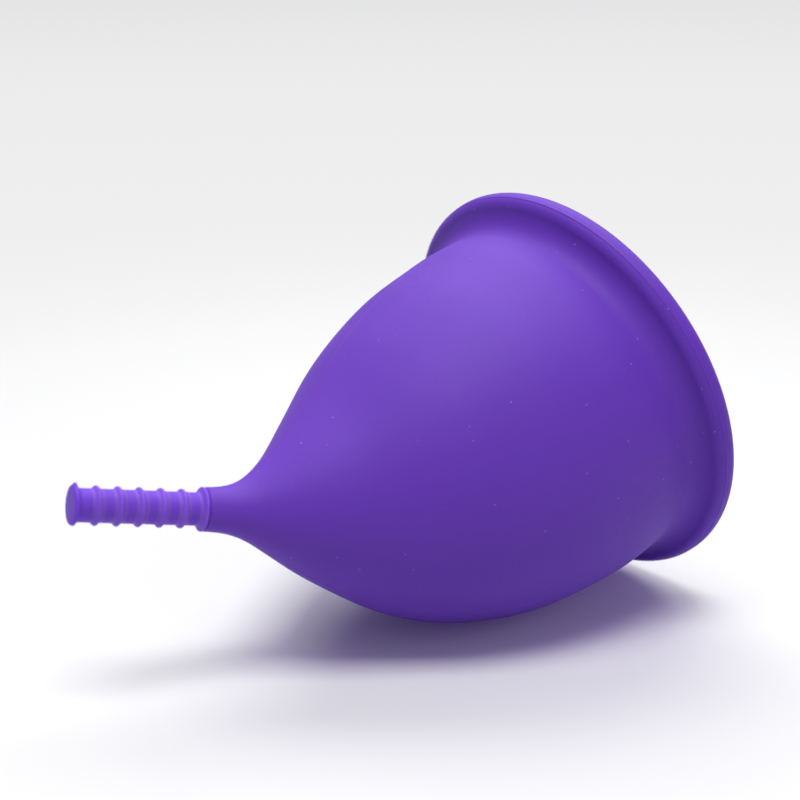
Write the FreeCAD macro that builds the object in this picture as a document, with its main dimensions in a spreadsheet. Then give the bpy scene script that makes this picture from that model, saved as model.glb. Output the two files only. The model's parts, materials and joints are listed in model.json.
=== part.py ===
import FreeCAD, Part
import math
import os
import Sketcher

# A soft silicone cup lying on its side: a beaded, flared rim, a bell on a gently
# sagging centre line, and a short ribbed stem that can be bent in every direction.
#
# Frame: +Z up, +X towards the mouth, origin at the centre of the mouth face.
# Each sub-part is drawn in a local frame whose X axis runs away from the mouth.

DRIVING_SIZES = {
    # rim: a round bead, cut flat by the mouth plane, on a short outward flare
    "rim_radius": 22.5,
    "bead_radius": 1.4,
    "bead_cut": 0.1,
    "groove_depth": 6.0,
    "groove_radius": 19.0,
    "throat_radius": 17.5,
    # bell: outer radius at each station, counted from the groove to the stem
    "bell_radius_1": 19.7,
    "bell_radius_2": 19.15,
    "bell_radius_3": 18.3,
    "bell_radius_4": 16.4,
    "bell_radius_5": 13.5,
    "bell_radius_6": 10.1,
    "bell_radius_7": 7.05,
    "bell_radius_8": 4.25,
    "bell_radius_9": 2.5,
    "bell_radius_10": 2.05,
    "wall_thickness": 1.8,
    "floor_thickness": 3.2,
    "cavity_end_radius": 0.8,
    # centre line: straight behind the rim, then bending upwards and a little sideways
    "bell_length": 48.4,
    "rim_rise": 18.6,
    "bell_bend": 28.3,
    "stem_turn": 16.8,
    "turn_length": 14.0,
    # stem
    "core_radius": 1.57,
    "ring_radius": 1.84,
    "root_ring_radius": 2.1,
    "tip_ring_radius": 1.9,
    "ring_width": 0.5,
    "ring_pitch": 2.05,
    "socket_radius": 1.69,
}

# Share of the bent length at which each bell station lies.
STATION_SHARES = (0.0, 0.075, 0.18, 0.31, 0.44, 0.57, 0.68, 0.775, 0.86, 0.93, 1.0)
BASE_STATION = 5
CAVITY_STATION = 8
BAYS = 6
PIVOTS = 5
SPINE_STEPS = 480

doc = FreeCAD.newDocument("silicone_cup")
sheet = doc.addObject("Spreadsheet::Sheet", "Sizes")
for row, (alias, number) in enumerate(DRIVING_SIZES.items(), start=1):
    sheet.set("A%d" % row, alias)
    sheet.set("B%d" % row, str(number))
    sheet.setAlias("B%d" % row, alias)
doc.recompute()


def size(alias):
    """Read one driving size back from the sheet."""
    return float(sheet.get(alias))


# ---------------------------------------------------------------- centre line

def smooth_step(share):
    share = min(max(share, 0.0), 1.0)
    return share * share * (3.0 - 2.0 * share)


def spine_direction(depth):
    """Unit vector of the centre line, pointing away from the mouth."""
    bent = max(0.0, depth - size("groove_depth")) / (size("bell_length") - size("groove_depth"))
    lift = math.radians(size("bell_bend") * bent)
    turn_start = size("bell_length") - size("turn_length")
    turn = math.radians(size("stem_turn")) * smooth_step((depth - turn_start) / size("turn_length"))
    return FreeCAD.Vector(
        math.cos(lift) * math.cos(turn), -math.cos(lift) * math.sin(turn), math.sin(lift)
    )


def spine_point(depth):
    """Point of the centre line at this length from the mouth, by midpoint steps."""
    point = FreeCAD.Vector(0, 0, 0)
    step = depth / SPINE_STEPS
    for index in range(SPINE_STEPS):
        point += spine_direction((index + 0.5) * step) * step
    return point


def axes_rotation(along):
    """Rotation whose X axis is the given direction and whose Y axis stays level."""
    level = FreeCAD.Vector(0, 0, 1).cross(along).normalize()
    return FreeCAD.Rotation(along, level, along.cross(level), "XZY")


def spine_frame(depth):
    return FreeCAD.Placement(spine_point(depth), axes_rotation(spine_direction(depth)))


def station_depth(station):
    bent_length = size("bell_length") - size("groove_depth")
    return size("groove_depth") + STATION_SHARES[station] * bent_length


def cup_placement():
    """The cup's local frame in the lying frame: its X axis leaves the mouth downwards."""
    rise = math.radians(size("rim_rise"))
    inwards = FreeCAD.Vector(-math.cos(rise), 0, -math.sin(rise))
    return FreeCAD.Placement(FreeCAD.Vector(0, 0, 0), axes_rotation(inwards))


CUP = cup_placement()
STEM = CUP.multiply(spine_frame(size("bell_length")))


def stem_placement(distance):
    """A point on the straight stem, this far from the bell."""
    return STEM.multiply(
        FreeCAD.Placement(FreeCAD.Vector(distance, 0, 0), FreeCAD.Rotation())
    )


# ------------------------------------------------------------ sketch helpers

def new_body(label, placement):
    body = doc.addObject("PartDesign::Body", label)
    body.Label = label
    body.Placement = placement
    return body


def new_sketch(body, name, role):
    """A sketch on one of the body's own origin planes."""
    plane = next(item for item in body.Origin.OriginFeatures if item.Role == role)
    sketch = body.newObject("Sketcher::SketchObject", name)
    sketch.AttachmentSupport = [(plane, "")]
    sketch.MapMode = "FlatFace"
    return sketch


def bind(sketch, constraint, expression):
    index = sketch.addConstraint(constraint)
    sketch.setExpression("Constraints[%d]" % index, expression)


def bind_point(sketch, curve, end, across=None, up=None):
    """Hold a point of a curve at distances from the sketch origin."""
    place = sketch.getPoint(curve, end)
    if across:
        bind(sketch, Sketcher.Constraint("DistanceX", -1, 1, curve, end, place.x), across)
    if up:
        bind(sketch, Sketcher.Constraint("DistanceY", -1, 1, curve, end, place.y), up)


def bind_radius(sketch, curve, expression):
    bind(sketch, Sketcher.Constraint("Radius", curve, sketch.Geometry[curve].Radius), expression)


def join(sketch, curve, end, other, other_end):
    sketch.addConstraint(Sketcher.Constraint("Coincident", curve, end, other, other_end))


def line(x1, y1, x2, y2):
    return Part.LineSegment(FreeCAD.Vector(x1, y1, 0), FreeCAD.Vector(x2, y2, 0))


def arc(centre_x, centre_y, radius, start, end):
    """Arc from one angle to another, anticlockwise, in radians."""
    circle = Part.Circle(
        FreeCAD.Vector(centre_x, centre_y, 0), FreeCAD.Vector(0, 0, 1), radius
    )
    return Part.ArcOfCircle(circle, start, end)


def revolve(body, sketch):
    """Turn the profile once around the local X axis."""
    turned = body.newObject("PartDesign::Revolution", body.Label + "_turned")
    turned.Profile = sketch
    turned.ReferenceAxis = (sketch, ["H_Axis"])
    turned.Angle = 360.0
    body.Tip = turned


# ----------------------------------------------------------------------- rim

def bead_centre():
    """Centre of the bead's section: its depth and its height above the axis."""
    return size("bead_radius") - size("bead_cut"), size("rim_radius") - size("bead_radius")


def bind_bead(sketch, curve):
    """Hold an arc of the bead's circle at its true centre and radius."""
    bind_point(
        sketch, curve, 3, "Sizes.bead_radius - Sizes.bead_cut", "Sizes.rim_radius - Sizes.bead_radius"
    )
    bind_radius(sketch, curve, "Sizes.bead_radius")


def rim_bead():
    """The bead around the mouth, with a narrow flat ring that the cup stands on."""
    body = new_body("rim_bead", CUP)
    sketch = new_sketch(body, "bead_section", "XZ_Plane")
    bead = size("bead_radius")
    depth, height = bead_centre()
    flat = math.sqrt(bead**2 - depth**2)
    opening = math.acos(depth / bead)
    sketch.addGeometry(arc(depth, height, bead, opening - math.pi, math.pi - opening), False)
    sketch.addGeometry(line(0, height + flat, 0, height - flat), False)
    join(sketch, 0, 2, 1, 1)
    join(sketch, 1, 2, 0, 1)
    bind_bead(sketch, 0)
    sketch.addConstraint(Sketcher.Constraint("PointOnObject", 1, 1, -2))
    sketch.addConstraint(Sketcher.Constraint("PointOnObject", 1, 2, -2))
    revolve(body, sketch)
    return body


def rim_flare():
    """The trumpet between the bead and the groove, tangent to the bead inside and out."""
    body = new_body("rim_flare", CUP)
    sketch = new_sketch(body, "flare_section", "XZ_Plane")
    bead = size("bead_radius")
    depth = size("groove_depth")
    bead_depth, bead_height = bead_centre()
    run = depth - bead_depth
    drop = bead_height - size("groove_radius")
    outer = (run**2 + drop**2 - bead**2) / (2 * (drop + bead))
    outer_height = size("groove_radius") + outer
    inner_drop = bead_height - size("throat_radius")
    inner = (run**2 + inner_drop**2 - bead**2) / (2 * (inner_drop - bead))
    inner_height = size("throat_radius") + inner
    outer_angle = math.atan2(outer_height - bead_height, run)
    inner_angle = math.atan2(bead_height - inner_height, -run)
    sketch.addGeometry(arc(bead_depth, bead_height, bead, inner_angle, outer_angle), False)
    sketch.addGeometry(
        arc(depth, outer_height, outer, outer_angle + math.pi, 1.5 * math.pi), False
    )
    sketch.addGeometry(line(depth, size("groove_radius"), depth, size("throat_radius")), False)
    sketch.addGeometry(
        arc(depth, inner_height, inner, inner_angle + 2 * math.pi, 1.5 * math.pi), False
    )
    join(sketch, 1, 2, 2, 1)
    join(sketch, 2, 2, 3, 2)
    bind_bead(sketch, 0)
    bind_point(sketch, 2, 1, "Sizes.groove_depth", "Sizes.groove_radius")
    bind_point(sketch, 2, 2, "Sizes.groove_depth", "Sizes.throat_radius")
    bind_point(sketch, 1, 3, "Sizes.groove_depth")
    bind_point(sketch, 3, 3, "Sizes.groove_depth")
    sketch.addConstraint(Sketcher.Constraint("Tangent", 0, 2, 1, 1))
    sketch.addConstraint(Sketcher.Constraint("Tangent", 3, 1, 0, 1))
    revolve(body, sketch)
    return body


# ---------------------------------------------------------------------- bell

def ring_sketch(body, name, depth, radius, expression):
    """A circle square to the centre line at this depth."""
    sketch = new_sketch(body, name, "YZ_Plane")
    across = FreeCAD.Placement(
        FreeCAD.Vector(0, 0, 0),
        FreeCAD.Rotation(
            FreeCAD.Vector(0, 1, 0), FreeCAD.Vector(0, 0, 1), FreeCAD.Vector(1, 0, 0), "ZXY"
        ),
    )
    sketch.AttachmentOffset = across.inverse().multiply(spine_frame(depth)).multiply(across)
    sketch.addGeometry(
        Part.Circle(FreeCAD.Vector(0, 0, 0), FreeCAD.Vector(0, 0, 1), radius), False
    )
    join(sketch, 0, 3, -1, 1)
    bind_radius(sketch, 0, expression)
    return sketch


def outer_ring(body, station):
    alias = "groove_radius" if station == 0 else "bell_radius_%d" % station
    return ring_sketch(
        body, "outer_%d" % station, station_depth(station), size(alias), "Sizes." + alias
    )


def inner_ring(body, station):
    """The cavity follows the outside at one wall's distance and narrows to its floor."""
    depth = station_depth(station)
    name = "inner_%d" % station
    if station == 0:
        return ring_sketch(body, name, depth, size("throat_radius"), "Sizes.throat_radius")
    if station == CAVITY_STATION:
        end_radius = size("cavity_end_radius")
        return ring_sketch(body, name, depth, end_radius, "Sizes.cavity_end_radius")
    gap = "floor_thickness" if station == CAVITY_STATION - 1 else "wall_thickness"
    alias = "bell_radius_%d" % station
    formula = "Sizes.%s - Sizes.%s" % (alias, gap)
    return ring_sketch(body, name, depth, size(alias) - size(gap), formula)


def add_loft(body, kind, rings):
    loft = body.newObject(kind, body.Label + "_" + kind.split("::")[1].lower())
    loft.Profile = rings[0]
    loft.Sections = rings[1:]
    body.Tip = loft


def bell_zone(label, outer_stations, inner_stations):
    """A length of the bell: an outer loft less the cavity."""
    body = new_body(label, CUP)
    add_loft(body, "PartDesign::AdditiveLoft", [outer_ring(body, i) for i in outer_stations])
    doc.recompute()
    add_loft(body, "PartDesign::SubtractiveLoft", [inner_ring(body, i) for i in inner_stations])
    return body


def bell_wall():
    stations = range(0, BASE_STATION + 1)
    return bell_zone("bell_wall", stations, stations)


def bell_base():
    last = len(STATION_SHARES)
    return bell_zone(
        "bell_base", range(BASE_STATION, last), range(BASE_STATION, CAVITY_STATION + 1)
    )


# ---------------------------------------------------------------------- stem

def ball_end(sketch, pivot, centre_expression):
    """Quarter circle of a ball around the pivot at a core's far end."""
    core = size("core_radius")
    sketch.addGeometry(arc(pivot, 0, core, 0, math.pi / 2), False)
    ball = sketch.GeometryCount - 1
    bind_point(sketch, ball, 3, centre_expression)
    sketch.addConstraint(Sketcher.Constraint("PointOnObject", ball, 3, -1))
    bind_radius(sketch, ball, "Sizes.core_radius")
    return ball


def socket_start(sketch):
    """Hollow start of a core: part of a sphere around the pivot, clear of the ball."""
    socket = size("socket_radius")
    lip = math.asin(size("core_radius") / socket)
    sketch.addGeometry(arc(0, 0, socket, 0, lip), False)
    curve = sketch.GeometryCount - 1
    join(sketch, curve, 3, -1, 1)
    bind_radius(sketch, curve, "Sizes.socket_radius")
    return curve


def stem_root():
    """The first half bay, fixed to the bell, with the first ball."""
    body = new_body("stem_root", STEM)
    sketch = new_sketch(body, "root_section", "XZ_Plane")
    core = size("core_radius")
    pivot = pivot_distance(1)
    formula = "(Sizes.ring_width + Sizes.ring_pitch) / 2"
    ball = ball_end(sketch, pivot, formula)
    sketch.addGeometry(line(pivot, core, 0, core), False)
    sketch.addGeometry(line(0, core, 0, 0), False)
    sketch.addGeometry(line(0, 0, pivot + core, 0), False)
    join(sketch, ball, 2, 1, 1)
    join(sketch, 1, 2, 2, 1)
    join(sketch, 2, 2, 3, 1)
    join(sketch, 3, 2, ball, 1)
    join(sketch, 2, 2, -1, 1)
    bind_point(sketch, 1, 1, formula)
    sketch.addConstraint(Sketcher.Constraint("Horizontal", 1))
    sketch.addConstraint(Sketcher.Constraint("Vertical", 2))
    sketch.addConstraint(Sketcher.Constraint("Horizontal", 3))
    revolve(body, sketch)
    return body


def pivot_distance(bay):
    """Each pivot sits in the middle of its bay, between two rings."""
    return size("ring_width") / 2 + (bay - 0.5) * size("ring_pitch")


def stem_link(bay):
    """One link of the core, from the socket at its pivot to the ball at the next."""
    body = new_body("stem_link_%d" % bay, stem_placement(pivot_distance(bay)))
    sketch = new_sketch(body, "link_section_%d" % bay, "XZ_Plane")
    core = size("core_radius")
    pitch = size("ring_pitch")
    socket = socket_start(sketch)
    ball = ball_end(sketch, pitch, "Sizes.ring_pitch")
    lip = math.sqrt(size("socket_radius") ** 2 - core**2)
    sketch.addGeometry(line(lip, core, pitch, core), False)
    sketch.addGeometry(line(size("socket_radius"), 0, pitch + core, 0), False)
    join(sketch, 2, 1, socket, 2)
    join(sketch, 2, 2, ball, 2)
    join(sketch, 3, 1, socket, 1)
    join(sketch, 3, 2, ball, 1)
    bind_point(sketch, 2, 2, "Sizes.ring_pitch")
    sketch.addConstraint(Sketcher.Constraint("Horizontal", 2))
    sketch.addConstraint(Sketcher.Constraint("PointOnObject", 3, 1, -1))
    sketch.addConstraint(Sketcher.Constraint("PointOnObject", 3, 2, -1))
    revolve(body, sketch)
    return body


def stem_tip():
    """The last bay and a half, ending in a flat disc level with the end ring."""
    body = new_body("stem_tip", stem_placement(pivot_distance(PIVOTS)))
    sketch = new_sketch(body, "tip_section", "XZ_Plane")
    core = size("core_radius")
    socket = socket_start(sketch)
    lip = math.sqrt(size("socket_radius") ** 2 - core**2)
    end = (BAYS - PIVOTS + 0.5) * size("ring_pitch") + size("ring_width") / 2
    formula = "%g * Sizes.ring_pitch + Sizes.ring_width / 2" % (BAYS - PIVOTS + 0.5)
    sketch.addGeometry(line(lip, core, end, core), False)
    sketch.addGeometry(line(end, core, end, 0), False)
    sketch.addGeometry(line(end, 0, size("socket_radius"), 0), False)
    join(sketch, 1, 1, socket, 2)
    join(sketch, 1, 2, 2, 1)
    join(sketch, 2, 2, 3, 1)
    join(sketch, 3, 2, socket, 1)
    bind_point(sketch, 1, 2, formula, "Sizes.core_radius")
    sketch.addConstraint(Sketcher.Constraint("Horizontal", 1))
    sketch.addConstraint(Sketcher.Constraint("Vertical", 2))
    sketch.addConstraint(Sketcher.Constraint("PointOnObject", 2, 2, -1))
    sketch.addConstraint(Sketcher.Constraint("PointOnObject", 3, 2, -1))
    revolve(body, sketch)
    return body


def grip_ring(label, number, height_alias):
    """A rib around the core: two flat flanks and a half-round crest."""
    body = new_body(label, stem_placement(number * size("ring_pitch")))
    sketch = new_sketch(body, label + "_section", "XZ_Plane")
    core = size("core_radius")
    width = size("ring_width")
    crest = width / 2
    shoulder = size(height_alias) - crest
    sketch.addGeometry(arc(crest, shoulder, crest, 0, math.pi), False)
    sketch.addGeometry(line(0, shoulder, 0, core), False)
    sketch.addGeometry(line(0, core, width, core), False)
    sketch.addGeometry(line(width, core, width, shoulder), False)
    join(sketch, 1, 2, 2, 1)
    join(sketch, 2, 2, 3, 1)
    sketch.addConstraint(Sketcher.Constraint("Tangent", 0, 2, 1, 1))
    sketch.addConstraint(Sketcher.Constraint("Tangent", 3, 2, 0, 1))
    sketch.addConstraint(Sketcher.Constraint("Vertical", 1))
    sketch.addConstraint(Sketcher.Constraint("Vertical", 3))
    sketch.addConstraint(Sketcher.Constraint("Horizontal", 2))
    bind_point(
        sketch, 0, 3, "Sizes.ring_width / 2", "Sizes.%s - Sizes.ring_width / 2" % height_alias
    )
    bind_radius(sketch, 0, "Sizes.ring_width / 2")
    bind_point(sketch, 2, 1, None, "Sizes.core_radius")
    revolve(body, sketch)
    return body


# ------------------------------------------------------------ build and write

sub_parts = [rim_bead(), rim_flare(), bell_wall(), bell_base(), stem_root()]
sub_parts.append(grip_ring("root_ring", 0, "root_ring_radius"))
for bay in range(1, PIVOTS):
    sub_parts.append(stem_link(bay))
sub_parts.append(stem_tip())
for number in range(1, BAYS):
    sub_parts.append(grip_ring("grip_ring_%d" % number, number, "ring_radius"))
sub_parts.append(grip_ring("tip_ring", BAYS, "tip_ring_radius"))
doc.recompute()

for item in doc.Objects:
    for state in item.State:
        if state in ("Invalid", "Error"):
            raise RuntimeError("%s did not recompute: %s" % (item.Label, state))
for sub_part in sub_parts:
    if sub_part.Shape.isNull() or not sub_part.Shape.isValid():
        raise RuntimeError("%s has no valid shape" % sub_part.Label)
    if len(sub_part.Shape.Solids) != 1:
        raise RuntimeError("%s is not one solid" % sub_part.Label)

os.makedirs("parts", exist_ok=True)
for sub_part in sub_parts:
    sub_part.Shape.exportStep("parts/%s.step" % sub_part.Label)
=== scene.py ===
import json
import math

import bmesh
import bpy
import numpy as np
from mathutils import Matrix, Vector


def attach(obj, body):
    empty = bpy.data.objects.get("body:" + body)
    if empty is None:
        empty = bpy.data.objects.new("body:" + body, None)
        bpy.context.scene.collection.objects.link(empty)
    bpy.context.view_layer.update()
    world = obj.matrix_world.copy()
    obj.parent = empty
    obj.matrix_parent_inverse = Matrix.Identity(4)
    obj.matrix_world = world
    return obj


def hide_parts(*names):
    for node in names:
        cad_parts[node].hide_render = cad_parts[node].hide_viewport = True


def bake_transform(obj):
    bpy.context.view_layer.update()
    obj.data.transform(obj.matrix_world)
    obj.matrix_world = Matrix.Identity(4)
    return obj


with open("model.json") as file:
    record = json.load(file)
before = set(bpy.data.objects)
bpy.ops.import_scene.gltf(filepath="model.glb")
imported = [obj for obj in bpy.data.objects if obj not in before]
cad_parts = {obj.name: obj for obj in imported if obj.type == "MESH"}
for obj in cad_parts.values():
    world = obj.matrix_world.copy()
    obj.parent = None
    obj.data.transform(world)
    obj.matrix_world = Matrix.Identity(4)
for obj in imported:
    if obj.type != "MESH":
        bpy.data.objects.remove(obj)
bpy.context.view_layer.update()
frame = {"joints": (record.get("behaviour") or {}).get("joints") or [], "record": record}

MM = 0.001

# ------------------------------------------------------------ design sizes, metres
# The driving sizes of the CAD model's sheet. They differ only round the groove behind the
# rim, because the soft skin rounds it off: it lies 0.8 mm nearer to the mouth, its radius
# is 0.4 mm larger outside and 0.3 mm larger in the throat, and the bell's next five radii
# are up to 0.15 mm larger or smaller.

RIM_RADIUS = 22.5 * MM
BEAD_RADIUS = 1.4 * MM
BEAD_CUT = 0.1 * MM
STRAIGHT_LENGTH = 6.0 * MM
GROOVE_DEPTH = 5.2 * MM
GROOVE_RADIUS = 19.4 * MM
THROAT_RADIUS = 17.8 * MM
BELL_LENGTH = 48.4 * MM
WALL = 1.8 * MM
FLOOR_THICKNESS = 3.2 * MM
CAVITY_END = 0.8 * MM
BELL_BEND = math.radians(28.3)
STEM_TURN = math.radians(16.8)
TURN_LENGTH = 14.0 * MM
STATION_SHARES = (0.0, 0.075, 0.18, 0.31, 0.44, 0.57, 0.68, 0.775, 0.86, 0.93, 1.0)
BELL_RADII = (19.4, 19.55, 19.2, 18.35, 16.5, 13.6, 10.1, 7.05, 4.25, 2.5, 2.05)
CAVITY_STATION = 8
CORE_RADIUS = 1.57 * MM
RING_RADIUS = 1.84 * MM
ROOT_RING_RADIUS = 2.1 * MM
TIP_RING_RADIUS = 1.9 * MM
RING_WIDTH = 0.5 * MM
RING_PITCH = 2.05 * MM
BAYS = 6

# How finely the skins are divided: points around, then rows along each stretch.
BELL_AROUND = 160
BAY_AROUND = 64
RING_AROUND = 72
TIP_AROUND = 96
BELL_ROWS = 110
GROOVE_ROWS = 22
BEAD_ROWS = 34
RIM_LINE_ROWS = 9
MOUTH_ROWS = 10
THROAT_ROWS = 26
CAVITY_ROWS = 70
CAVITY_END_ROWS = 5
BAY_ROWS = 34
RING_ROWS = 33
TIP_ROWS = 12
TIP_RING_ROWS = 17
TIP_CREST_ROWS = 9

# Fine detail of the moulding, and how its pieces meet, which only the looks have.
SEAM_ANGLE = math.radians(110.0)
SEAM_HEIGHT = 0.045 * MM
SEAM_HALF_WIDTH = 0.11 * MM
SEAM_SPREAD_RADIUS = 16.0 * MM
RIM_LINE_ANGLE = math.radians(68.0)
RIM_LINE_HEIGHT = 0.045 * MM
RIM_LINE_HALF_ANGLE = math.radians(5.0)
RING_SWELL = 0.25 * MM
RING_SHARPNESS = 2.6
RING_FOOT = 0.62 * MM
RING_BURIED = 0.1 * MM
SKIRT_HEIGHT = 0.02 * MM
SKIRT_REACH = 0.4 * MM
TIP_DOME = 0.06 * MM
TIP_INSET = 0.01 * MM
NIB_ANGLE = math.radians(100.0)
NIB_HEIGHT = 0.2 * MM
NIB_HALF_WIDTH = 0.34 * MM
NIB_HALF_LENGTH = 0.3 * MM


# --------------------------------------------------------------- the centre line

RIM_MOUNT = next(m for m in frame["record"]["mounts"] if m["name"] == "rim_face")
MOUTH = Vector(RIM_MOUNT["pos_m"])
INWARDS = -Vector(RIM_MOUNT["axis"]).normalized()
JOINTS = frame["joints"]


def axes_matrix(along, origin):
    """Frame whose X axis is the given direction and whose Y axis stays level."""
    level = Vector((0, 0, 1)).cross(along).normalized()
    up = along.cross(level)
    turn = Matrix((along, level, up)).transposed().to_4x4()
    return Matrix.Translation(origin) @ turn


CUP = axes_matrix(INWARDS, MOUTH)


def smooth_step(share):
    share = min(max(share, 0.0), 1.0)
    return share * share * (3.0 - 2.0 * share)


def spine_direction(depth):
    lift = BELL_BEND * max(0.0, depth - STRAIGHT_LENGTH) / (BELL_LENGTH - STRAIGHT_LENGTH)
    turn = STEM_TURN * smooth_step((depth - BELL_LENGTH + TURN_LENGTH) / TURN_LENGTH)
    return Vector(
        (math.cos(lift) * math.cos(turn), -math.cos(lift) * math.sin(turn), math.sin(lift))
    )


def spine_table(steps):
    """Points along the centre line at even depths, in the cup's own frame."""
    step = BELL_LENGTH / steps
    points = [Vector((0, 0, 0))]
    for index in range(steps):
        points.append(points[-1] + spine_direction((index + 0.5) * step) * step)
    return points


SPINE = spine_table(480)


def spine_frame(depth):
    """Frame on the centre line at this depth behind the mouth."""
    place = min(max(depth / BELL_LENGTH, 0.0), 1.0) * (len(SPINE) - 1)
    index = min(int(place), len(SPINE) - 2)
    point = SPINE[index].lerp(SPINE[index + 1], place - index)
    return CUP @ axes_matrix(spine_direction(depth), point)


STEM = spine_frame(BELL_LENGTH)


# ------------------------------------------------------------------ the meridian

def natural_spline(xs, ys):
    """Cubic spline through a few points, as a function of x."""
    xs, ys = np.array(xs), np.array(ys)
    gaps = np.diff(xs)
    slopes = np.diff(ys) / gaps
    count = len(xs)
    system = np.eye(count)
    right = np.zeros(count)
    for i in range(1, count - 1):
        system[i, i - 1 : i + 2] = gaps[i - 1], 2 * (gaps[i - 1] + gaps[i]), gaps[i]
        right[i] = 6 * (slopes[i] - slopes[i - 1])
    bends = np.linalg.solve(system, right)

    def value(x):
        i = int(min(max(np.searchsorted(xs, x) - 1, 0), count - 2))
        a, b = (xs[i + 1] - x) / gaps[i], (x - xs[i]) / gaps[i]
        curve = (a**3 - a) * bends[i] + (b**3 - b) * bends[i + 1]
        return a * ys[i] + b * ys[i + 1] + curve * gaps[i] ** 2 / 6

    return value


def station_depth(station):
    return GROOVE_DEPTH + STATION_SHARES[station] * (BELL_LENGTH - GROOVE_DEPTH)


def arc_points(centre, radius, start, end, count):
    """Points (depth, radius) on an arc of the meridian."""
    angles = np.linspace(start, end, count)
    return [(centre[0] + radius * math.cos(a), centre[1] + radius * math.sin(a)) for a in angles]


def rim_arcs():
    """The bead's centre, then centre, radius and tangent angle of each flare arc."""
    bead = (BEAD_RADIUS - BEAD_CUT, RIM_RADIUS - BEAD_RADIUS)
    run = GROOVE_DEPTH - bead[0]
    drop = bead[1] - GROOVE_RADIUS
    outer = (run**2 + drop**2 - BEAD_RADIUS**2) / (2 * (drop + BEAD_RADIUS))
    inner_drop = bead[1] - THROAT_RADIUS
    inner = (run**2 + inner_drop**2 - BEAD_RADIUS**2) / (2 * (inner_drop - BEAD_RADIUS))
    outer_centre = (GROOVE_DEPTH, GROOVE_RADIUS + outer)
    inner_centre = (GROOVE_DEPTH, THROAT_RADIUS + inner)
    outer_angle = math.atan2(outer_centre[1] - bead[1], run)
    inner_angle = math.atan2(bead[1] - inner_centre[1], -run)
    return bead, (outer_centre, outer, outer_angle), (inner_centre, inner, inner_angle)


def bead_rows(start, end):
    """The outside of the bead, with the fine raised line where two mould plates met."""
    bead = rim_arcs()[0]
    coarse = np.linspace(start, end, BEAD_ROWS)
    fine = RIM_LINE_ANGLE + RIM_LINE_HALF_ANGLE * np.linspace(-1.0, 1.0, RIM_LINE_ROWS)
    rows = []
    for angle in np.unique(np.concatenate([coarse, fine])):
        reach = (angle - RIM_LINE_ANGLE) / RIM_LINE_HALF_ANGLE
        radius = BEAD_RADIUS + RIM_LINE_HEIGHT * max(0.0, 1.0 - reach * reach)
        rows.append((bead[0] + radius * math.cos(angle), bead[1] + radius * math.sin(angle)))
    return rows


def outside_rows():
    """(depth, radius) from the stem over the bell, the groove and the bead to its flat."""
    bead, (centre, radius, angle), _ = rim_arcs()
    depths = [station_depth(i) for i in range(len(STATION_SHARES))]
    outside = natural_spline(depths, [r * MM for r in BELL_RADII])
    rows = [(d, outside(d)) for d in np.linspace(BELL_LENGTH, GROOVE_DEPTH, BELL_ROWS)]
    rows += arc_points(centre, radius, 1.5 * math.pi, math.pi + angle, GROOVE_ROWS)[1:]
    rows += bead_rows(angle, math.pi - math.acos(bead[0] / BEAD_RADIUS))[1:]
    return rows


def inside_rows():
    """(depth, radius) from the bead's flat down the throat to the cavity's floor."""
    bead, _, (centre, radius, angle) = rim_arcs()
    opening = math.pi + math.acos(bead[0] / BEAD_RADIUS)
    rows = arc_points(bead, BEAD_RADIUS, opening, 2 * math.pi + angle, MOUTH_ROWS)
    rows += arc_points(centre, radius, 2 * math.pi + angle, 1.5 * math.pi, THROAT_ROWS)[1:]
    radii = [THROAT_RADIUS] + [r * MM - WALL for r in BELL_RADII[1:CAVITY_STATION]]
    radii[-1] = BELL_RADII[CAVITY_STATION - 1] * MM - FLOOR_THICKNESS
    depths = [station_depth(i) for i in range(CAVITY_STATION + 1)]
    inside = natural_spline(depths, radii + [CAVITY_END])
    rows += [(d, inside(d)) for d in np.linspace(GROOVE_DEPTH, depths[-1], CAVITY_ROWS)][1:]
    end = (depths[-1], 0.0)
    rows += arc_points(end, CAVITY_END, 0.5 * math.pi, 0.1 * math.pi, CAVITY_END_ROWS)[1:]
    return rows


# ------------------------------------------------------------------ mesh helpers

def make_object(name, verts, faces):
    mesh = bpy.data.meshes.new(name)
    mesh.from_pydata([tuple(v) for v in verts], [], faces)
    mesh.update()
    bm = bmesh.new()
    bm.from_mesh(mesh)
    bmesh.ops.recalc_face_normals(bm, faces=bm.faces)
    bm.to_mesh(mesh)
    bm.free()
    for polygon in mesh.polygons:
        polygon.use_smooth = True
    obj = bpy.data.objects.new(name, mesh)
    bpy.context.scene.collection.objects.link(obj)
    return obj


def lathe(name, rows, angles, place, swell=None):
    """Closed skin through rings. Each row is (depth, radius, swells), place gives its frame.

    swell returns the height to add at an angle, depth and radius, in the rows that swell.
    The first and last rows are closed with a fan of faces.
    """
    verts, faces = [], []
    count = len(angles)
    for depth, radius, swells in rows:
        base = place(depth)
        for angle in angles:
            lifted = radius + (swell(angle, depth, radius) if swells else 0.0)
            verts.append(
                base @ Vector((0, lifted * math.cos(angle), lifted * math.sin(angle)))
            )
    for row in range(len(rows) - 1):
        for i in range(count):
            j = (i + 1) % count
            near, far = row * count, (row + 1) * count
            faces.append((near + i, near + j, far + j, far + i))
    for row in (0, len(rows) - 1):
        hub = len(verts)
        verts.append(place(rows[row][0]) @ Vector((0, 0, 0)))
        for i in range(count):
            faces.append((hub, row * count + i, row * count + (i + 1) % count))
    return make_object(name, verts, faces)


def smooth_rows(rows):
    return [(depth, radius, False) for depth, radius in rows]


def plain_angles(count):
    return [2 * math.pi * i / count for i in range(count)]


def off_seam(angle):
    """Angle to the nearer of the two mould lines."""
    return min(
        abs(math.remainder(angle - SEAM_ANGLE, 2 * math.pi)),
        abs(math.remainder(angle - SEAM_ANGLE - math.pi, 2 * math.pi)),
    )


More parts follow.
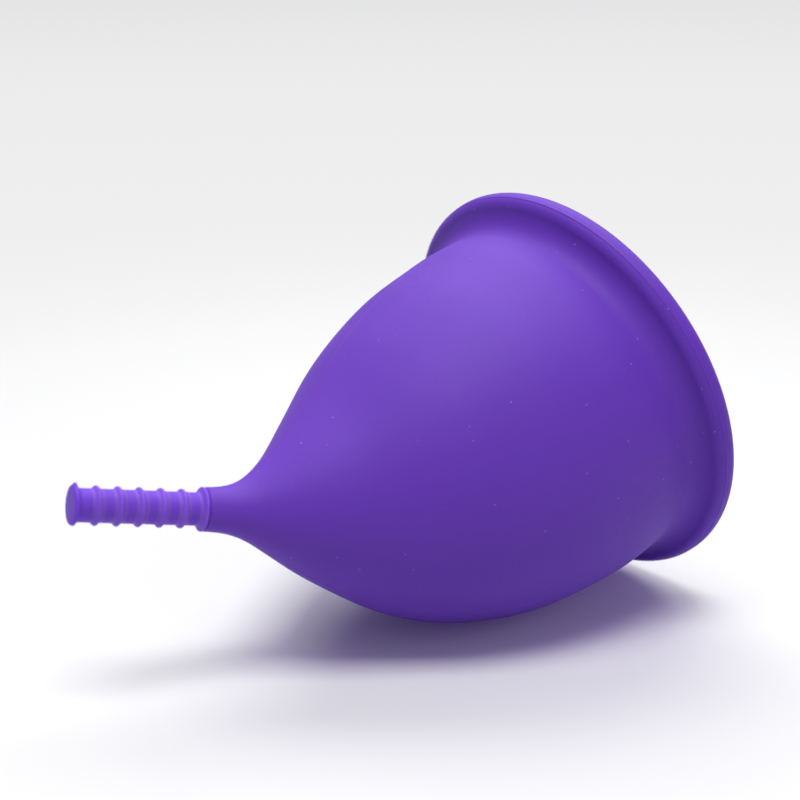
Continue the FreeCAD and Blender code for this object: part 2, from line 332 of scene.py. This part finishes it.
def seamed_angles(count, spread):
    """Even angles, with a close-set group where each half of the mould meets the other."""
    angles = [a for a in plain_angles(count) if off_seam(a) >= spread * 1.5]
    for seam in (SEAM_ANGLE, SEAM_ANGLE + math.pi):
        angles += [seam + spread * t for t in (-1, -0.6, -0.3, 0, 0.3, 0.6, 1)]
    return sorted(a % (2 * math.pi) for a in angles)


# ------------------------------------------------------------------------- pieces

def seam_swell(angle, depth, radius):
    """Height of the mould line on the bell, which fades out towards the rim."""
    reach = off_seam(angle) * radius / SEAM_HALF_WIDTH
    if reach >= 1.0:
        return 0.0
    fade = smooth_step((depth - BEAD_RADIUS) / GROOVE_DEPTH)
    return SEAM_HEIGHT * fade * (1.0 - reach * reach)


def cup_skin():
    """The whole bell and rim as one moulded skin; only its outside has the mould line."""
    rows = [(depth, radius, True) for depth, radius in outside_rows()]
    rows += [(depth, radius, False) for depth, radius in inside_rows()]
    angles = seamed_angles(BELL_AROUND, SEAM_HALF_WIDTH / SEAM_SPREAD_RADIUS)
    obj = lathe("cup_skin", rows, angles, spine_frame, seam_swell)
    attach(obj, "cup")
    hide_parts("rim_bead", "rim_flare", "bell_wall", "bell_base")
    return obj


def stem_frame(distance):
    return STEM @ Matrix.Translation((distance, 0, 0))


def ring_centre(number):
    return number * RING_PITCH + RING_WIDTH / 2


def ring_height(across, ring_radius):
    """Height of a grip ring over the core at this distance from its middle."""
    crest = math.exp(-((abs(across) / RING_SWELL) ** RING_SHARPNESS))
    skirt = SKIRT_HEIGHT * math.exp(-((across / SKIRT_REACH) ** 2))
    return (ring_radius - CORE_RADIUS) * crest + skirt


def ring_piece(name, body, number, ring_radius, node):
    """A grip ring with a small fillet into the core on both sides."""
    centre = ring_centre(number)
    buried = CORE_RADIUS - RING_BURIED
    rows = [(centre - RING_FOOT, buried)]
    for across in np.linspace(-RING_FOOT, RING_FOOT, RING_ROWS):
        rows.append((centre + across, CORE_RADIUS + ring_height(across, ring_radius)))
    rows.append((centre + RING_FOOT, buried))
    obj = lathe(name, smooth_rows(rows), plain_angles(RING_AROUND), stem_frame)
    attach(obj, body)
    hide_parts(node)
    return obj


def bay_piece(number, node):
    """The core between two rings.

    The first one starts inside the bell's end, under the root ring.
    """
    start = ring_centre(number - 1)
    end = ring_centre(number)
    first = start - RING_WIDTH if number == 1 else start
    rows = [(d, CORE_RADIUS) for d in np.linspace(first, end, BAY_ROWS)]
    name = "stem_bay_%d" % number
    obj = lathe(name, smooth_rows(rows), plain_angles(BAY_AROUND), stem_frame)
    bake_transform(obj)
    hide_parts(node)
    return obj


def nib_swell(angle, depth, radius):
    """The little nib left on the tip ring where the silicone was fed in."""
    off = math.remainder(angle - NIB_ANGLE, 2 * math.pi) * radius / NIB_HALF_WIDTH
    along = (depth - ring_centre(BAYS)) / NIB_HALF_LENGTH
    return NIB_HEIGHT * math.exp(-(off**2) - along**2)


def tip_piece(body):
    """The last bay with the ring at the stem's end and the slightly domed end face."""
    centre = ring_centre(BAYS)
    crest = RING_WIDTH / 2
    core = np.linspace(ring_centre(BAYS - 1), centre - RING_FOOT, TIP_ROWS)
    rows = [(depth, CORE_RADIUS) for depth in core]
    for across in np.linspace(-RING_FOOT, 0.0, TIP_RING_ROWS)[1:]:
        rows.append((centre + across, CORE_RADIUS + ring_height(across, TIP_RING_RADIUS)))
    middle = (centre, TIP_RING_RADIUS - crest)
    rows += arc_points(middle, crest, 0.5 * math.pi, 0.06 * math.pi, TIP_CREST_ROWS)[1:]
    face = rows[-1][1]
    for share in np.linspace(0.92, 0.05, TIP_ROWS):
        bulge = TIP_DOME * (1.0 - share**2) - TIP_INSET
        rows.append((centre + crest + bulge, face * share))
    rows = [(depth, radius, radius > CORE_RADIUS) for depth, radius in rows]
    obj = lathe("stem_tip_piece", rows, plain_angles(TIP_AROUND), stem_frame, nib_swell)
    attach(obj, body)
    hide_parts("stem_tip", "tip_ring")
    return obj


def stem_pieces():
    """Root ring, the bays between the rings, their rings and the tip, from the bell outwards."""
    chain = ["cup"] + [joint["child"] for joint in JOINTS]
    cores, rings = [], [ring_piece("stem_root_ring", "cup", 0, ROOT_RING_RADIUS, "root_ring")]
    for number in range(1, BAYS):
        node = "stem_root" if number == 1 else "stem_link_%d" % (number - 1)
        cores.append(bay_piece(number, node))
        name = "grip_ring_%d" % number
        rings.append(ring_piece("stem_" + name, chain[number], number, RING_RADIUS, name))
    cores.append(tip_piece(chain[-1]))
    return cores, rings


# ---------------------------------------------------------------------- materials

# Base colour, the colour that it drifts to in soft clouds, and the share of subsurface light.
BODY_LOOK = ((0.103, 0.022, 0.39), (0.097, 0.020, 0.372), 0.35)
# The stem's lighter base colour is painted light shining through the thin stem; its larger
# subsurface share is real.
STEM_LOOK = ((0.130, 0.034, 0.51), (0.122, 0.031, 0.49), 0.6)
# The rings' lighter, paler base colour is a painted highlight on their crests.
RING_LOOK = ((0.175, 0.062, 0.53), (0.160, 0.056, 0.50), 0.6)
DUST_COLOUR = (0.62, 0.52, 0.85, 1.0)

# The share of lamp light that passes each skin of the wall, by colour.
WALL_TINT = (0.33, 0.25, 0.46, 1.0)

# How deep light enters silicone in each colour, as shares of the scale in metres.
GLOW_RADIUS = (0.55, 0.3, 1.0)
GLOW_SCALE = 1.2 * MM
SILICONE_IOR = 1.41

# Noise cells per metre for the clouds and for the fine grain, then the grain's depth, the
# strength of its bumps and the range of roughness that it gives.
CLOUD_SCALE = 60.0
GRAIN_SCALE = 2600.0
GRAIN_DEPTH = 0.04 * MM
GRAIN_BUMP = 0.12
ROUGHNESS_RANGE = (0.58, 0.72)


def math_node(tree, operation, *values):
    """A math node; each value is a number or a socket to link."""
    node = tree.nodes.new("ShaderNodeMath")
    node.operation = operation
    for index, value in enumerate(values):
        if isinstance(value, (int, float)):
            node.inputs[index].default_value = value
        else:
            tree.links.new(value, node.inputs[index])
    return node.outputs[0]


def dust_mask(tree, place, scale, share, reach, strength):
    """Rare small specks of dust: a share of the cells hold one, each of this reach."""
    cells = tree.nodes.new("ShaderNodeTexVoronoi")
    cells.inputs["Scale"].default_value = scale
    tree.links.new(place, cells.inputs["Vector"])
    pick = tree.nodes.new("ShaderNodeSeparateColor")
    tree.links.new(cells.outputs["Color"], pick.inputs["Color"])
    near = math_node(tree, "LESS_THAN", cells.outputs["Distance"], reach)
    chosen = math_node(tree, "LESS_THAN", pick.outputs["Red"], share)
    both = math_node(tree, "MULTIPLY", near, chosen)
    varied = math_node(tree, "MULTIPLY", both, pick.outputs["Green"])
    return math_node(tree, "MULTIPLY", varied, strength)


def let_light_through(tree, shader):
    """Lamps shine a little way through the wall, so the shadow is tinted."""
    clear = tree.nodes.new("ShaderNodeBsdfTransparent")
    clear.inputs["Color"].default_value = WALL_TINT
    lamp = tree.nodes.new("ShaderNodeLightPath").outputs["Is Shadow Ray"]
    mix = tree.nodes.new("ShaderNodeMixShader")
    tree.links.new(lamp, mix.inputs[0])
    tree.links.new(shader.outputs[0], mix.inputs[1])
    tree.links.new(clear.outputs[0], mix.inputs[2])
    tree.links.new(mix.outputs[0], tree.nodes["Material Output"].inputs["Surface"])


def silicone(name, base, deep, glow):
    """Matte tinted silicone: light enters it a little way, and dust clings to it."""
    material = bpy.data.materials.new(name)
    material.use_nodes = True
    tree = material.node_tree
    shader = tree.nodes["Principled BSDF"]
    place = tree.nodes.new("ShaderNodeTexCoord").outputs["Object"]

    cloud = tree.nodes.new("ShaderNodeTexNoise")
    cloud.inputs["Scale"].default_value = CLOUD_SCALE
    cloud.inputs["Detail"].default_value = 3.0
    tree.links.new(place, cloud.inputs["Vector"])
    tint = tree.nodes.new("ShaderNodeValToRGB")
    tint.color_ramp.elements[0].position = 0.35
    tint.color_ramp.elements[0].color = (*deep, 1.0)
    tint.color_ramp.elements[1].position = 0.65
    tint.color_ramp.elements[1].color = (*base, 1.0)
    tree.links.new(cloud.outputs["Fac"], tint.inputs["Fac"])

    fine = dust_mask(tree, place, scale=1000.0, share=0.2, reach=0.085, strength=0.3)
    coarse = dust_mask(tree, place, scale=420.0, share=0.10, reach=0.045, strength=0.5)
    dusted = tree.nodes.new("ShaderNodeMix")
    dusted.data_type = "RGBA"
    dusted.inputs["B"].default_value = DUST_COLOUR
    tree.links.new(math_node(tree, "ADD", fine, coarse), dusted.inputs["Factor"])
    tree.links.new(tint.outputs["Color"], dusted.inputs["A"])
    tree.links.new(dusted.outputs["Result"], shader.inputs["Base Color"])

    grain = tree.nodes.new("ShaderNodeTexNoise")
    grain.inputs["Scale"].default_value = GRAIN_SCALE
    grain.inputs["Detail"].default_value = 4.0
    tree.links.new(place, grain.inputs["Vector"])
    rough = tree.nodes.new("ShaderNodeMapRange")
    rough.inputs["To Min"].default_value = ROUGHNESS_RANGE[0]
    rough.inputs["To Max"].default_value = ROUGHNESS_RANGE[1]
    tree.links.new(grain.outputs["Fac"], rough.inputs["Value"])
    tree.links.new(rough.outputs["Result"], shader.inputs["Roughness"])
    bump = tree.nodes.new("ShaderNodeBump")
    bump.inputs["Strength"].default_value = GRAIN_BUMP
    bump.inputs["Distance"].default_value = GRAIN_DEPTH
    tree.links.new(grain.outputs["Fac"], bump.inputs["Height"])
    tree.links.new(bump.outputs["Normal"], shader.inputs["Normal"])

    shader.inputs["IOR"].default_value = SILICONE_IOR
    shader.inputs["Subsurface Weight"].default_value = glow
    shader.inputs["Subsurface Radius"].default_value = GLOW_RADIUS
    shader.inputs["Subsurface Scale"].default_value = GLOW_SCALE
    shader.inputs["Sheen Weight"].default_value = 0.04
    shader.inputs["Sheen Roughness"].default_value = 0.45
    shader.inputs["Sheen Tint"].default_value = (0.75, 0.65, 1.0, 1.0)
    let_light_through(tree, shader)
    return material


# -------------------------------------------------------------- stage, light, camera

# The camera's turn and drop, then where the mouth's centre lies: to the side of, below
# and beyond the camera, in rim radii.
VIEW_TURN = math.radians(39.5)
VIEW_DROP = math.radians(16.0)
VIEW_SIDE = 0.8545
VIEW_BELOW = -0.1122
VIEW_DISTANCE = 8.0825
LENS_MM = 74.4
SENSOR_MM = 36.0
# The sharpest plane, in rim radii before the mouth's centre, and the lens opening.
FOCUS_BEFORE_MOUTH = 0.6
APERTURE = 40.0

# The floor's own colour near the cup, and the even tones of the sweep at each distance: a
# painted glow that only the camera sees, darker away from the cup in place of the lamps' light
# falling off.
FLOOR_COLOUR = (0.61, 0.61, 0.615, 1.0)
SWEEP_TONES = (
    (0.10, (0.92, 0.92, 0.925, 1.0)),
    (0.24, (0.865, 0.865, 0.87, 1.0)),
    (1.4, (0.78, 0.78, 0.79, 1.0)),
)
SWEEP_START = 0.07
SWEEP_FULL = 0.2
FLOOR_HALF = 3.0

# Name, place (to the right, above, beyond the cup), width, height and watts.
LAMPS = (
    ("softbox_above", (-0.02, 0.5, -0.16), 0.26, 0.2, 2.7),
    ("fill_front", (0.4, 0.3, -0.4), 0.4, 0.4, 0.5),
    ("softbox_behind", (0.02, 0.45, 0.3), 0.6, 0.3, 2.6),
)
AIM_BEHIND_MOUTH = 0.02
AIM_ABOVE_FLOOR = 0.02
ROOM_COLOUR = (0.97, 0.98, 1.0, 1.0)
ROOM_STRENGTH = 0.25


def view_axes():
    """Right, up and forward of the main camera."""
    level = math.cos(VIEW_DROP)
    forward = Vector(
        (math.sin(VIEW_TURN) * level, math.cos(VIEW_TURN) * level, -math.sin(VIEW_DROP))
    )
    right = Vector((math.cos(VIEW_TURN), -math.sin(VIEW_TURN), 0))
    return right, right.cross(forward), forward


def floor_material():
    """White card near the cup; farther out the camera sees a painted glow that darkens to an
    even soft grey, in place of the lamps' light falling off.
    """
    material = bpy.data.materials.new("pale_floor")
    material.use_nodes = True
    tree = material.node_tree
    shader = tree.nodes["Principled BSDF"]
    shader.inputs["Base Color"].default_value = FLOOR_COLOUR
    shader.inputs["Roughness"].default_value = 0.7
    shader.inputs["Specular IOR Level"].default_value = 0.2
    where = tree.nodes.new("ShaderNodeNewGeometry").outputs["Position"]
    away = tree.nodes.new("ShaderNodeVectorMath")
    away.operation = "LENGTH"
    tree.links.new(where, away.inputs[0])

    reach = SWEEP_TONES[-1][0]
    share = math_node(tree, "DIVIDE", away.outputs["Value"], reach)
    tone = tree.nodes.new("ShaderNodeValToRGB")
    stops = tone.color_ramp.elements
    stops.new(0.5)
    for stop, (distance, colour) in zip(stops, SWEEP_TONES):
        stop.position = distance / reach
        stop.color = colour
    tree.links.new(share, tone.inputs["Fac"])
    # Painted glow seen only by the camera, darker away from the cup where the lamps' light would
    # fall off.
    glow = tree.nodes.new("ShaderNodeEmission")
    tree.links.new(tone.outputs["Color"], glow.inputs["Color"])

    fade = tree.nodes.new("ShaderNodeMapRange")
    fade.interpolation_type = "SMOOTHSTEP"
    fade.inputs["From Min"].default_value = SWEEP_START
    fade.inputs["From Max"].default_value = SWEEP_FULL
    tree.links.new(away.outputs["Value"], fade.inputs["Value"])
    seen = tree.nodes.new("ShaderNodeLightPath").outputs["Is Camera Ray"]
    mix = tree.nodes.new("ShaderNodeMixShader")
    tree.links.new(math_node(tree, "MULTIPLY", fade.outputs["Result"], seen), mix.inputs[0])
    tree.links.new(shader.outputs[0], mix.inputs[1])
    tree.links.new(glow.outputs[0], mix.inputs[2])
    tree.links.new(mix.outputs[0], tree.nodes["Material Output"].inputs["Surface"])
    return material


def lowest_point(objects):
    return min((obj.matrix_world @ v.co).z for obj in objects for v in obj.data.vertices)


def add_floor(height):
    signs = ((-1, -1), (1, -1), (1, 1), (-1, 1))
    corners = [(x * FLOOR_HALF, y * FLOOR_HALF, height) for x, y in signs]
    obj = make_object("floor", corners, [(0, 1, 2, 3)])
    obj.data.materials.append(floor_material())


def add_area(name, place, aim, width, height, watts):
    light = bpy.data.lights.new(name, "AREA")
    light.shape = "RECTANGLE"
    light.size = width
    light.size_y = height
    light.energy = watts
    obj = bpy.data.objects.new(name, light)
    obj.location = place
    obj.rotation_mode = "QUATERNION"
    obj.rotation_quaternion = (aim - place).to_track_quat("-Z", "Y")
    bpy.context.scene.collection.objects.link(obj)


def add_camera():
    """The camera stands so that the mouth's centre lies where the view puts it."""
    right, up, forward = view_axes()
    data = bpy.data.cameras.new("main_camera")
    data.lens = LENS_MM
    data.sensor_width = SENSOR_MM
    data.clip_start = 0.01
    data.clip_end = 20.0
    data.dof.use_dof = True
    data.dof.focus_distance = (VIEW_DISTANCE - FOCUS_BEFORE_MOUTH) * RIM_RADIUS
    data.dof.aperture_fstop = APERTURE
    obj = bpy.data.objects.new("main_camera", data)
    offset = right * VIEW_SIDE - up * VIEW_BELOW + forward * VIEW_DISTANCE
    obj.location = MOUTH - offset * RIM_RADIUS
    obj.rotation_mode = "QUATERNION"
    obj.rotation_quaternion = forward.to_track_quat("-Z", "Y")
    bpy.context.scene.collection.objects.link(obj)
    bpy.context.scene.camera = obj


def add_lights(height):
    """Three soft lamps, all aimed at the middle of the cup."""
    right, _, forward = view_axes()
    flat = Vector((forward.x, forward.y, 0)).normalized()
    centre = Vector((-AIM_BEHIND_MOUTH, 0, height + AIM_ABOVE_FLOOR))
    for name, (side, above, beyond), width, depth, watts in LAMPS:
        place = centre + right * side + Vector((0, 0, above)) + flat * beyond
        add_area(name, place, centre, width, depth, watts)


def add_room():
    """Soft light from all around; the camera sees the sweep's far tone instead."""
    world = bpy.data.worlds.new("studio")
    world.use_nodes = True
    tree = world.node_tree
    tree.nodes["Background"].inputs["Color"].default_value = ROOM_COLOUR
    tree.nodes["Background"].inputs["Strength"].default_value = ROOM_STRENGTH
    beyond = tree.nodes.new("ShaderNodeBackground")
    beyond.inputs["Color"].default_value = SWEEP_TONES[-1][1]
    mix = tree.nodes.new("ShaderNodeMixShader")
    seen = tree.nodes.new("ShaderNodeLightPath").outputs["Is Camera Ray"]
    tree.links.new(seen, mix.inputs[0])
    tree.links.new(tree.nodes["Background"].outputs[0], mix.inputs[1])
    tree.links.new(beyond.outputs[0], mix.inputs[2])
    tree.links.new(mix.outputs[0], tree.nodes["World Output"].inputs["Surface"])
    bpy.context.scene.world = world


# ------------------------------------------------------------------------- build

skin = cup_skin()
stem_cores, stem_rings = stem_pieces()
looks = (
    (silicone("silicone_body", *BODY_LOOK), [skin]),
    (silicone("silicone_stem", *STEM_LOOK), stem_cores),
    (silicone("silicone_rings", *RING_LOOK), stem_rings),
)
for look, pieces in looks:
    for piece in pieces:
        piece.data.materials.append(look)

floor_height = lowest_point([skin])
add_floor(floor_height)
add_lights(floor_height)
add_room()
add_camera()
bpy.context.scene.view_settings.view_transform = "Standard"
